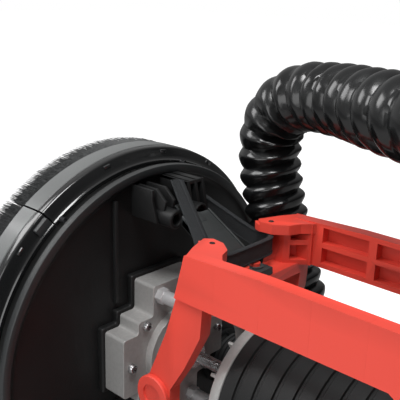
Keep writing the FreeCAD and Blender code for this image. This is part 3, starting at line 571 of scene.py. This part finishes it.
def hose_point(way, passed, distance, turn):
    """Skin of the helical hose: wide ribs, sharp creases, and folds on the inside of a bend."""
    angle = 2 * math.pi * turn
    ripple = noise.noise(Vector((math.cos(angle) * 1.3, math.sin(angle) * 1.3, distance * 55)))
    station = min(int(distance / way.step), len(passed) - 2)
    count = passed[station] + (passed[station + 1] - passed[station]) * (distance / way.step - station)
    phase = (count - turn + 0.05 * ripple) % 1
    centre, side, up, bend = way.at(distance)
    out = side * math.cos(angle) + up * math.sin(angle)
    inside = HOSE_RADIUS * bend.dot(out)
    rise = min(phase / RISING_SHARE, (1 - phase) / (1 - RISING_SHARE))
    crest = 0.55 * math.sin(math.pi / 2 * rise) + 0.45 * rise ** 0.55
    depth = CREASE_DEPTH * min(1.4, max(0.5, 1 + 1.1 * inside))
    fold = noise.noise(Vector((math.cos(angle) * 2.6, math.sin(angle) * 2.6, distance * 190)))
    slack = min(1.0, max(0.06, 0.22 + 1.7 * inside))
    radius = HOSE_RADIUS - depth * (1 - crest) - FOLD_DEPTH * slack * max(0, fold + 0.1)
    return centre + out * radius


def hose_piece(name, way, passed, start, end):
    """Skin between two distances along the hose, with rows of vertices that follow the helix."""
    bm = bmesh.new()
    stations = len(passed)
    ahead = {}

    def reached(count):
        """Distance along the hose at which that many ribs are passed."""
        key = round(count * ROWS_PER_RIB * HOSE_SIDES)
        if key not in ahead:
            low, high = 0, stations - 1
            while high - low > 1:
                middle = (low + high) // 2
                if passed[middle] <= count:
                    low = middle
                else:
                    high = middle
            part = (count - passed[low]) / (passed[high] - passed[low])
            ahead[key] = (low + part) * way.step
        return ahead[key]

    ribs_before, ribs_after = 1.2, 0.1          # a row runs one rib along the hose, so rows start before it
    first = math.floor((passed[int(start / way.step)] - ribs_before) * ROWS_PER_RIB)
    last = math.ceil((passed[min(int(end / way.step) + 1, stations - 1)] + ribs_after) * ROWS_PER_RIB)
    rows = []
    for i in range(first, last + 1):
        row = []
        for j in range(HOSE_SIDES + 1):
            turn = j / HOSE_SIDES
            distance = min(max(reached(i / ROWS_PER_RIB + turn), start), end)
            row.append(bm.verts.new(hose_point(way, passed, distance, turn)))
        rows.append(row)
    for here, there in zip(rows, rows[1:]):
        for j in range(HOSE_SIDES):
            bm.faces.new((here[j], here[j + 1], there[j + 1], there[j]))
    bmesh.ops.remove_doubles(bm, verts=bm.verts, dist=2e-5)
    bmesh.ops.recalc_face_normals(bm, faces=bm.faces)
    mesh = bpy.data.meshes.new(name)
    bm.to_mesh(mesh)
    bm.free()
    return shown(name, mesh, [LOOKS["hose_black"]], RIBBED)


def add_hose():
    way = Way(spline(HOSE_ROUTE))
    passed = rib_count(way)
    middle = way.length / 2
    runs = (("hose_front", 0.0, middle, "head", "gimbal", (0.09, 0.074, -0.020), (0.09, 0.074, 0.145)),
            ("hose_rear", middle, way.length, "gimbal", "root", (0.125, 0, 0.12), (0.335, 0, 0.12)))
    for name, start, end, near, far, blend_start, blend_end in runs:
        piece = hose_piece(name, way, passed, start, end)
        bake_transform(piece)
        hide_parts("suction_hose")


add_hose()


# ---------------------------------------------------------------- brush rim
RIM_PROFILE = [
    (18, 118.2), (18.2, 124.2), (19, 125), (31.2, 125), (31.6, 124.6), (33, 124.6), (35.4, 124.5), (36.2, 124.1),
    (36.6, 123.4), (38.8, 119.4), (39.8, 117.4), (40.2, 117.1), (40.9, 116.7), (41, 116.2), (41, 114.8),
    (40.7, 114.2), (39.8, 114), (39.1, 114.3), (38.9, 116.2), (34.6, 117.2), (18.4, 117)]
RIM_SLOTS = [1] * 4 + [0] * 17      # the outer wall is painted grey: a painted reflection of the white surroundings
RIM_STEPS = 264
STRAND_ROWS, INNER_ROW, OUTER_TIP = 6, 118.9, 124.9
STRAND_RADIUS = 121                 # turns a length round the rim into an angle
STRAND_GAP, TUFT_GAP = 0.42, 4.2
STRAND_START, STRAND_LENGTH = 18.2, 17.4


def rim_part(name, node, first, last):
    """Part of the rim between two angles, with small clips on its shoulder."""
    kit = Kit()
    steps = int(RIM_STEPS * (last - first) / 360)
    kit.turn(RIM_PROFILE, steps=steps, first=first, last=last, closed=True, slots=RIM_SLOTS)
    clips = [first + 11 + 22 * k for k in range(int((last - first) / 22))]
    kit.spokes(clips, (37.2, 121.6, 0), (1.2, 1.2, 2.4), 0.3)
    kit.stands_for(name, [LOOKS["gloss_black"], PAINTED_REFLECTION_GREY], node)


def strands(name, node, first, last, seed):
    """Tufted filaments that lean a little outward, over a dark core."""
    chance = random.Random(seed)
    points, faces = [], []
    arc = math.radians(last - first) * STRAND_RADIUS
    tuft_angle = TUFT_GAP / STRAND_RADIUS
    for row in range(STRAND_ROWS):
        base_radius = INNER_ROW + row
        count = int(arc / STRAND_GAP)
        for k in range(count):
            angle = math.radians(first) + math.radians(last - first) * (k + chance.random()) / count
            tuft = round(angle / tuft_angle) * tuft_angle
            lean = (tuft - angle) * 0.08 + chance.gauss(0, 0.0016)
            length = STRAND_LENGTH - chance.random() ** 2 * 0.9
            tip_radius = min(OUTER_TIP, base_radius + 0.55 + chance.gauss(0, 0.35))
            width = 0.17 + chance.random() * 0.07
            start = len(points)
            for part, thick in ((0.0, 1.0), (0.55, 0.85), (1.0, 0.35)):
                here = angle + lean * part ** 1.5
                radius = base_radius + (tip_radius - base_radius) * part ** 1.6
                for corner in range(3):
                    turn = 2 * math.pi * corner / 3
                    r = radius + width * thick * math.cos(turn)
                    a = here + width * thick * math.sin(turn) / STRAND_RADIUS
                    x = STRAND_START - length * part
                    points.append((x * MM, r * math.cos(a) * MM, r * math.sin(a) * MM))
            for level in (0, 3):
                for corner in range(3):
                    a, b = start + level + corner, start + level + (corner + 1) % 3
                    faces.append((a, b, b + 3, a + 3))
            faces.append((start + 6, start + 7, start + 8))
    settle(wired(name, points, faces, LOOKS["bristle"]), BODY[node], (node,))
    core = Kit().turn([(6, 120), (6, 123), (18.1, 123.4), (18.1, 119)], steps=int(RIM_STEPS * (last - first) / 360),
                      first=first, last=last, closed=True)
    core.done(name + "_core", LOOKS["bristle"], BODY[node], (), SLOT[node])


def add_rim():
    rim_part("rim_main", "brush_rim", -127, 127)
    rim_part("rim_segment", "brush_segment", 127.5, 232.5)
    strands("bristles_main", "brush_bristles", -126.8, 126.8, 3)
    strands("bristles_segment", "segment_bristles", 127.7, 232.3, 5)
    tabs = Kit()
    tabs.spokes((130, 230), (38.6, 118.6, 0), (1.6, 4, 5), 0.6)
    tabs.done("segment_latches", GREY, "segment", (), "gloss_black")


# ---------------------------------------------------------------- hood
HOOD_PROFILE = [
    (22, 110.2), (22, 113), (44.6, 113), (45.2, 113.4), (45.7, 115), (46.4, 115.8), (47.2, 116), (49.8, 116),
    (50.7, 115.6), (51, 114.8), (51, 111.6), (50.7, 110.8), (50, 110.2), (48.8, 108.9), (48.2, 107.6), (48, 105.6),
    (48, 18.4), (45, 18.4), (45, 109.4), (45.6, 110)]
HOOD_SLOTS = [0] * 3 + [1] * 9 + [0] * 8        # the lip is grey


def box_outline(margin):
    """Stepped outline of the gearbox in the YZ plane, grown by a margin."""
    quarter = [(21, 48), (21, 28), (33, 28), (33, 20), (45, 20)]
    quarter = [(y + margin, z + margin) for y, z in quarter]
    half = quarter + [(y, -z) for y, z in reversed(quarter)]
    return half + [(-y, z) for y, z in reversed(half)]


def hood_posts(kit, sign):
    """Two posts for the strap's pin, three sloping ribs and a slotted block; below the axis they are mirrored."""
    def prism(outline, low, high, bevel=0.35):
        kit.prism([(x, sign * z) for x, z in outline], "xz", low, high, bevel)

    radius = 5.8
    for y, hole in ((-11, 3.2), (10, 4.0)):
        kit.turn([(47.5, radius + 0.9), (48.6, radius + 0.3), (50, radius), (78.4, radius), (79, radius - 0.6),
                  (79, hole + 0.5), (78.5, hole), (71.5, hole), (71.5, 0)], (0, y, sign * PIN_Z), steps=40)
    for y, low_x, high_x in ((-19, 66, 66), (-15, 73, 65), (-8, 73, 65)):
        prism([(47.5, 88), (70, 88), (low_x, 101), (high_x, 107.5), (47.5, 107.5)], y, y + 2)
    for k in range(3):
        prism([(47.5, 86), (76, 92), (75, 97), (72, 110), (47.5, 110)], 4.5 + 6.2 * k, 6.7 + 6.2 * k)
    low, high = sorted((sign * 107.5, sign * 110))
    kit.box((48, 4.5, low), (72, 19.1, high), 0.5)
    low, high = sorted((sign * 34, sign * 100))
    kit.box((47.5, -34, low), (50.4, -31.6, high), 0.4)


def add_hood():
    kit = Kit()
    kit.turn(HOOD_PROFILE, steps=256, closed=True, slots=HOOD_SLOTS)
    for sign in (1, -1):
        hood_posts(kit, sign)
    plinth = box_outline(2.2)
    kit.prism(plinth, "yz", 47.6, 53.0, 1.4, 3)
    kit.stands_for("hood_shell", [LOOKS["plastic_black"], GREY], "hood")
    port = Kit()
    port.turn([(48, 16), (48, 21), (50.2, 21), (51, 20.2), (51.4, 18.6), (53, 18), (73.4, 18), (74, 17.4), (74, 16)],
              (0, 73, -45), steps=64, closed=True)
    port.spokes(range(0, 360, 45), (0, 19.2, 0), (1.6, 1.4, 0.7), 0.3, (52.4, 73, -45))
    port.stands_for("dust_port_shell", LOOKS["plastic_black"], "dust_port")


def cuff(name, node, at, axis, start):
    """Rubber hose cuff with turned grooves."""
    profile = [(start, 18), (start, 20.2), (start + 0.6, 20.8)]
    for k in range(4):
        x = start + 2.5 + 3.6 * k
        profile += [(x, 20.8), (x + 0.4, 19.9), (x + 1.1, 19.9), (x + 1.5, 20.8)]
    profile += [(start + 17.4, 20.9), (start + 18, 20.3), (start + 18, 18)]
    Kit().turn(profile, at, axis, 72, closed=True).stands_for(name, LOOKS["rubber"], node)


def wound(name, look, centres, first, last, radius, wire, turns, per_turn):
    """Wires wound about the x direction round each centre, from one x to another. Millimetres."""
    points, faces = [], []
    sides, count = 6, turns * per_turn
    for centre in centres:
        start = len(points)
        for k in range(count + 1):
            angle = 2 * math.pi * k / per_turn
            out = Vector((0, math.cos(angle), math.sin(angle)))
            middle = centre + out * radius + Vector((first + (last - first) * k / count, 0, 0))
            for s in range(sides):
                turn = 2 * math.pi * s / sides
                points.append((middle + out * wire * math.cos(turn) + Vector((wire * math.sin(turn), 0, 0))) * MM)
        for k in range(count):
            for s in range(sides):
                a, b = start + k * sides + s, start + k * sides + (s + 1) % sides
                faces.append((a, b, b + sides, a + sides))
    return wired(name, points, faces, look)


def add_springs():
    """Six compression springs between the rim and the hood."""
    centres, ring = [], 116
    for angle in range(-125, 126, 50):
        around = math.radians(angle)
        centres.append(Vector((0, ring * math.cos(around), ring * math.sin(around))))
    coils = wound("rim_coils", DARK_STEEL, centres, 41.35, 45.65, 1.42, 0.33, turns=4, per_turn=14)
    settle(coils, "head", ("rim_springs",))
    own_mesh(coils)


# ---------------------------------------------------------------- gearbox and gimbal
def add_gearbox():
    soften("gearbox_housing", 2.6, segments=4)
    soften("gear_cover", 0.5)
    soften("gimbal_ring", 0.9)
    soften("yaw_brackets", 0.9)
    soften("bracket_standoffs", 0.4, ZINC)
    soften("gimbal_pins", 0.5)
    heads = Kit()
    for y, z in ((-27, 24), (27, 24), (-39, 0), (39, 0), (-27, -24), (27, -24)):
        heads.screw((70, y, z), 3, 3.4)
    heads.done("gearbox_screw_heads", LOOKS["steel"], "head", ("gearbox_screws",), "steel")
    heads = Kit()
    for y in (-15, 15):
        for z in (-42.5, 42.5):
            heads.screw((95, y, z), 3.5, 3)
    heads.done("bracket_screw_heads", LOOKS["steel"], "head", ("bracket_screws",), "steel")
    web = Kit()
    web.spokes(range(15, 360, 30), (71.9, 23.5, 0), (2.7, 3.4, 0.7), 0.35)
    web.extra("gearbox_webs", "cast_aluminium", "head")


def add_flex_shaft():
    for name, first, last, near, far in (("flex_front", 88.2, GIMBAL_X, "head", "gimbal"),
                                         ("flex_rear", GIMBAL_X, 111.8, "gimbal", "root")):
        rope = wound(name, LOOKS["steel"], [Vector()], first, last, 3.3, 0.62, turns=9, per_turn=18)
        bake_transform(rope)
        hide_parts("flex_shaft")


# ---------------------------------------------------------------- centring straps
BAND = [        # centre and width direction from the near limb, behind the horns, to the far limb
    ((66, 1.2, 110.5), (10, -2, 3)), ((84.5, -7.6, 98.5), (10, -1, 3)), ((103.5, -16.5, 86.5), (10, 0, 3)),
    ((114, -22.5, 79.5), (6, 4, 7)), ((124, -20, 80), (1, 1, 10)), ((125.5, -10, 80), (0, 0, 10)),
    ((125.5, 10, 80), (0, 0, 10)), ((124.5, 20, 80), (0, 0, 10)), ((119, 24.5, 80), (0, 0, 10)),
    ((108, 25.2, 79.5), (0, 0, 11)), ((84, 22.5, 88), (2, 0, 13)), ((60, 23, 95), (4, 0, 12))]
BAND_SECTION = [(-1.0, 1.0), (-0.93, 1.6), (-0.82, 1.6), (-0.76, 1.25), (0.76, 1.25), (0.82, 1.6), (0.93, 1.6),
                (1.0, 1.0)]     # share of the half width, and the half thickness there
BAND_HALF_WIDTH = 5.4
BAND_UV_PER_MM = 0.05
EYE = [(72, 87.4), (74.6, 93), (84, 94), (90, 90.5), (90, 85), (84, 88.4)]
TONGUE_SIDE = [
    (83.4, 94), (98, 85.9), (111, 78.5), (121, 71.5), (133.6, 71.5), (134, 67.2), (120, 67.2), (109, 74), (97, 81),
    (83.4, 88.7)]
BENDS = {       # x where the bend starts, where it is cut in two, and where it ends
    "band": (0.070, 0.088, 0.114),
    "tongue": (0.074, 0.100, 0.116),
}


def catmull(points):
    """Smooth line through vectors."""
    line, per_span = [], 10
    for i in range(len(points) - 1):
        a, b, c, d = (points[max(i - 1, 0)], points[i], points[i + 1], points[min(i + 2, len(points) - 1)])
        for k in range(per_span):
            t = k / per_span
            line.append(0.5 * ((2 * b) + (c - a) * t + (2 * a - 5 * b + 4 * c - d) * t ** 2
                               + (3 * b - a - 3 * c + d) * t ** 3))
    line.append(points[-1].copy())
    return line


def band_mesh(name, sign):
    """Woven elastic band with a thicker hem along both edges."""
    centres = catmull([Vector(centre) for centre, _ in BAND])
    across = catmull([Vector(direction).normalized() for _, direction in BAND])
    loop = BAND_SECTION + [(t, -half) for t, half in reversed(BAND_SECTION)]
    bm = bmesh.new()
    layer = bm.loops.layers.uv.new("UVMap")
    rows, walked = [], 0.0
    for i, centre in enumerate(centres):
        if i:
            walked += (centre - centres[i - 1]).length
        ahead = centres[min(i + 1, len(centres) - 1)] - centres[max(i - 1, 0)]
        wide = across[i].normalized()
        thick = ahead.cross(wide).normalized()
        rows.append((walked, [bm.verts.new(centre + wide * BAND_HALF_WIDTH * t + thick * h) for t, h in loop]))
    for (low, here), (high, there) in zip(rows, rows[1:]):
        for j in range(len(loop)):
            k = (j + 1) % len(loop)
            face = bm.faces.new((here[j], here[k], there[k], there[j]))
            for corner, (t, v) in zip(face.loops, ((loop[j][0], low), (loop[k][0], low), (loop[k][0], high),
                                                   (loop[j][0], high))):
                corner[layer].uv = (t, v * BAND_UV_PER_MM)
    bm.faces.new(rows[0][1])
    bm.faces.new(list(reversed(rows[-1][1])))
    bmesh.ops.transform(bm, matrix=Matrix.Diagonal((MM, MM, sign * MM, 1)), verts=bm.verts)
    bmesh.ops.recalc_face_normals(bm, faces=bm.faces)
    mesh = bpy.data.meshes.new(name)
    bm.to_mesh(mesh)
    bm.free()
    return mesh


def tongue_mesh(name, sign):
    """Rubber tongue with an eye round the pin, two side beads and a holed end on the fork's pegs."""
    kit = Kit()
    kit.prism([(x, sign * z) for x, z in EYE], "xz", -4.4, 3.7, 0.5)
    kit.prism([(x, sign * z) for x, z in TONGUE_SIDE], "xz", -12, 12, 0.7)
    bead = [(x, sign * (z + 0.9)) for x, z in TONGUE_SIDE[:4]] + [(x, sign * z) for x, z in TONGUE_SIDE[6:]]
    for y in (-12, 10.4):
        kit.prism(bead, "xz", y, y + 1.6, 0.5)
    kit.turn([(-4.4, 2.6), (-4.4, 4.6), (-4, 5), (3.3, 5), (3.7, 4.6), (3.7, 2.6)], (PIN_X, 0, sign * PIN_Z), "y",
             36, closed=True)
    for y in (-5, 5):
        low, high = (66.8, 72.3) if sign > 0 else (-72.3, -66.8)
        kit.turn([(low, 3.1), (low, 5), (high, 5), (high, 3.1)], (126, y, 0), "z", 32, closed=True)
    return kit.mesh(name)


def add_straps():
    for sign, side in ((1, "upper"), (-1, "lower")):
        for kind, build, look in (("band", band_mesh, ELASTIC), ("tongue", tongue_mesh, TONGUE)):
            name = f"{kind}_{side}"
            still, at_x, fixed = BENDS[kind]
            front, rear = halves(build(name, sign), name, look, at_x)
            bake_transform(front)
            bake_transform(rear)
            for part in (front, rear):
                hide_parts(f"centring_strap_{side}")


# ---------------------------------------------------------------- fork, motor, boom and grip
def add_fork():
    look = fork_look()
    soften("fork_far", 1.5, look, segments=3)
    soften("fork_near", 1.5, look, segments=3)
    caps = Kit()
    for side in (-1, 1):
        caps.turn([(0, 12), (side * 1.2, 12), (side * 1.8, 11.4), (side * 1.8, 6.8), (side * 0.6, 6.5),
                   (side * 0.6, 0)], (GIMBAL_X, side * 49, 0), "y", 48)
    caps.extra("pivot_caps", "red_plastic")
    # painted shade: black discs that stand in for the dark of the small holes in the horns
    hole_shade_discs = Kit()
    for y in (-26, 26):
        for sign in (-1, 1):
            hole_shade_discs.turn([(sign * 91.6, 1.6), (sign * 92.1, 1.6), (sign * 92.3, 1.3), (sign * 92.0, 0.9),
                        (sign * 92.0, 0)], (120, y, 0), "z", 24)
    hole_shade_discs.extra("horn_hole_shade", "plastic_black")
    screws = Kit()
    for side in (-1, 1):
        for x, z in ((280, 30), (280, -30), (316, 30), (316, -30)):
            screws.screw((x, side * 49.8, z), 3.4, 1.6, "y", side)
    screws.extra("shell_screws", "steel")
    vents = Kit()
    for side in (-1, 1):
        for k in range(6):
            z = -15 + 6 * k
            low, high = sorted((side * 49.7, side * 50.5))
            vents.box((286, low, z - 1.2), (312, high, z + 1.2), 0.35)
    vents.extra("shell_louvres", "plastic_black")


def add_motor():
    bell = Kit()
    bell.turn([(124, 11), (124, 19.4), (124.6, 20), (132, 29.6), (135.6, 43.4), (136.6, 44), (141.6, 44), (142, 43.6),
               (142, 36), (135, 26), (131, 18), (131, 11)], steps=96, closed=True)
    bell.spokes(range(0, 360, 30), (132.3, 30, 0), (3.2, 9, 1), 0.4)
    bell.stands_for("bell", LOOKS["cast_aluminium"], "motor_front_bell")
    profile = [(142, 40), (142, 43.3), (142.6, 44)]
    for k in range(9):
        x = 150 + 11 * k
        profile += [(x, 44), (x + 0.7, 43), (x + 2.3, 43), (x + 3, 44)]
    profile += [(331.4, 44), (332, 43.4), (332, 40)]
    Kit().turn(profile, steps=96, closed=True).stands_for("casing", LOOKS["plastic_black"], "motor_casing")
    soften("bearing_bridge", 0.4)
    soften("cooling_fan", 0.3)
    winding = Kit()
    winding.spokes(range(0, 360, 36), (190, 31, 0), (30, 3.4, 6.4), 2.4)
    winding.done("windings", COPPER, "root", (), "brass")


def add_boom():
    soften("air_adapter", 0.8)
    cuff("cuff_front", "hose_cuff_front", (0, 73, -45), "x", 56)
    cuff("cuff_rear", "hose_cuff_rear", (352, 0, 0), "z", 52)
    profile = [(470, 19), (470, 21.4), (470.8, 22.4), (473, 23.4), (475, 23.9)]
    for k in range(14):
        x = 484 + 11.2 * k
        profile += [(x, 24), (x + 0.6, 23.2), (x + 1.6, 23.2), (x + 2.2, 24)]
    profile += [(645, 23.9), (647, 23.4), (649.2, 22.4), (650, 21.4), (650, 19)]
    Kit().turn(profile, steps=80, closed=True).stands_for("sleeve", LOOKS["foam"], "boom_sleeve")
    clamps = Kit()
    for x in (392, 838):
        clamps.turn([(x, 19.05), (x, 21.6), (x + 0.8, 22.4), (x + 9.2, 22.4), (x + 10, 21.6), (x + 10, 19.05)],
                    steps=64, closed=True)
    clamps.extra("boom_collars", "plastic_black")


GRIP_PANEL = [
    (864, -27), (872, -31), (996, -33), (1012, -34), (1030, -34), (1030, 16), (1024, 20), (872, 20), (864, 12)]
DIAL_CENTRE = (992, 0, -30.6)


def add_grip():
    soften("grip_far", 3.2, segments=4)
    soften("grip_near", 3.2, segments=4)
    panels = Kit()
    for side in (-1, 1):
        low, high = sorted((side * 24, side * 25.7))
        panels.prism(GRIP_PANEL, "xz", low, high, 0.7)
        for k in range(9):
            x = 884 + 12 * k
            low, high = sorted((side * 25.4, side * 26.3))
            panels.box((x, low, -20), (x + 6, high, 8), 0.4)
    panels.extra("grip_panels", "rubber")
    screws = Kit()
    for x, z in ((858, 16), (1034, 18), (1034, -34), (860, -24), (1019, -22)):
        screws.screw((x, -25.2, z), 2.8, 1.0, "y", -1)
    screws.extra("grip_screws", "steel")
    soften("trigger", 1.8, segments=3)
    soften("lock_button", 0.8)
    dial = Kit()
    dial.turn([(-3.5, 0), (-3.5, 6.6), (-2.9, 7.2), (2.9, 7.2), (3.5, 6.6), (3.5, 0)], DIAL_CENTRE, "y", 40)
    dial.spokes(range(0, 360, 15), (7.35, 0, 0), (0.6, 3.2, 0.5), 0.2, DIAL_CENTRE, "Y")
    dial.stands_for("dial_wheel", LOOKS["plastic_black"], "speed_dial")
    profile = [(1028, 3.2), (1028, 5), (1040, 5), (1040, 7), (1045.4, 7), (1046, 6.6)]
    for k in range(4):
        x = 1046.4 + 1.8 * k
        radius = 6.3 - 0.35 * k
        profile += [(x, radius - 0.8), (x + 0.5, radius - 0.8), (x + 0.7, radius), (x + 1.4, radius)]
    profile += [(1054, 4.8), (1054, 3.2)]
    Kit().turn(profile, (0, 0, -31), steps=48, closed=True).stands_for("gland_boot", LOOKS["rubber"], "cable_gland")
    port = Kit()
    port.turn([(1022, 15), (1022, 16.9), (1040.5, 16.9), (1040.5, 20.2), (1041.3, 21), (1049.2, 21), (1050, 20.4),
               (1052, 18.5), (1091.2, 18.5), (1092, 17.8), (1092, 15)], steps=80, closed=True)
    port.spokes(range(0, 360, 18), (1045.3, 20.9, 0), (3, 0.5, 1.2), 0.3)
    port.stands_for("port_spigot", LOOKS["plastic_black"], "vacuum_port")


# ---------------------------------------------------------------- floor and light
FLOOR_Z = -0.15         # just below the tilted head
FLOOR_REACH = 6


def add_floor():
    """Pale paper below the tool, almost plain white to look at."""
    material = bpy.data.materials.new("paper")
    material.use_nodes = True
    nodes, links = material.node_tree.nodes, material.node_tree.links
    diffuse = nodes["Principled BSDF"]
    diffuse.inputs["Base Color"].default_value = (0.45, 0.45, 0.45, 1)
    diffuse.inputs["Roughness"].default_value = 0.9
    glow = nodes.new("ShaderNodeEmission")
    path = nodes.new("ShaderNodeLightPath")
    seen = nodes.new("ShaderNodeMath")
    seen.operation = "MULTIPLY"
    seen.inputs[1].default_value = 0.9
    links.new(path.outputs["Is Camera Ray"], seen.inputs[0])
    links.new(seen.outputs[0], glow.inputs["Strength"])
    both = nodes.new("ShaderNodeAddShader")
    links.new(diffuse.outputs[0], both.inputs[0])
    links.new(glow.outputs[0], both.inputs[1])
    links.new(both.outputs[0], nodes["Material Output"].inputs[0])
    mesh = bpy.data.meshes.new("floor")
    corners = [(x * FLOOR_REACH, y * FLOOR_REACH, FLOOR_Z) for x, y in ((-1, -1), (1, -1), (1, 1), (-1, 1))]
    mesh.from_pydata(corners, [], [(0, 1, 2, 3)])
    mesh.materials.append(material)
    floor = bpy.data.objects.new("floor", mesh)
    bpy.context.scene.collection.objects.link(floor)


def add_lights():
    """Plain white surroundings to look at, a dimmer sky to be lit by, and soft boxes."""
    bpy.context.scene.view_settings.view_transform = "Standard"
    world = bpy.data.worlds.new("world")
    bpy.context.scene.world = world
    world.use_nodes = True
    nodes, links = world.node_tree.nodes, world.node_tree.links
    sky = nodes["Background"]
    sky.inputs["Strength"].default_value = 0.36
    spot = nodes.new("ShaderNodeTexCoord")
    toward = nodes.new("ShaderNodeVectorMath")
    toward.operation = "DOT_PRODUCT"
    toward.inputs[1].default_value = (-0.62, -0.25, 0.74)      # the bright side of the sky
    ramp = nodes.new("ShaderNodeMapRange")
    ramp.interpolation_type = "SMOOTHSTEP"
    ramp.inputs["From Min"].default_value = -0.5
    ramp.inputs["From Max"].default_value = 0.9
    ramp.inputs["To Min"].default_value = 0.16
    ramp.inputs["To Max"].default_value = 1.25
    links.new(spot.outputs["Generated"], toward.inputs[0])
    links.new(toward.outputs["Value"], ramp.inputs["Value"])
    links.new(ramp.outputs["Result"], sky.inputs["Color"])
    paper = nodes.new("ShaderNodeBackground")
    paper.inputs["Color"].default_value = (1, 1, 1, 1)
    path = nodes.new("ShaderNodeLightPath")
    both = nodes.new("ShaderNodeMixShader")
    links.new(path.outputs["Is Camera Ray"], both.inputs[0])
    links.new(sky.outputs[0], both.inputs[1])
    links.new(paper.outputs[0], both.inputs[2])
    links.new(both.outputs[0], nodes["World Output"].inputs[0])
    target = Vector((0.12, 0, 0.02))
    lamps = (((0.34, -0.30, 1.05), 0.42, 9), ((-0.55, -0.5, 0.8), 0.5, 5), ((0.15, -1.0, 0.35), 0.6, 2.8))
    for place, size, power in lamps:
        light = bpy.data.lights.new("area", "AREA")
        light.size = size
        light.energy = power
        lamp = bpy.data.objects.new("area", light)
        bpy.context.scene.collection.objects.link(lamp)
        lamp.location = place
        lamp.rotation_euler = (target - Vector(place)).to_track_quat("-Z", "Y").to_euler()


add_rim()
add_hood()
add_springs()
add_gearbox()
add_flex_shaft()
add_straps()
add_fork()
add_motor()
add_boom()
add_grip()
soften("drive_plate", 0.6)
add_floor()
add_lights()
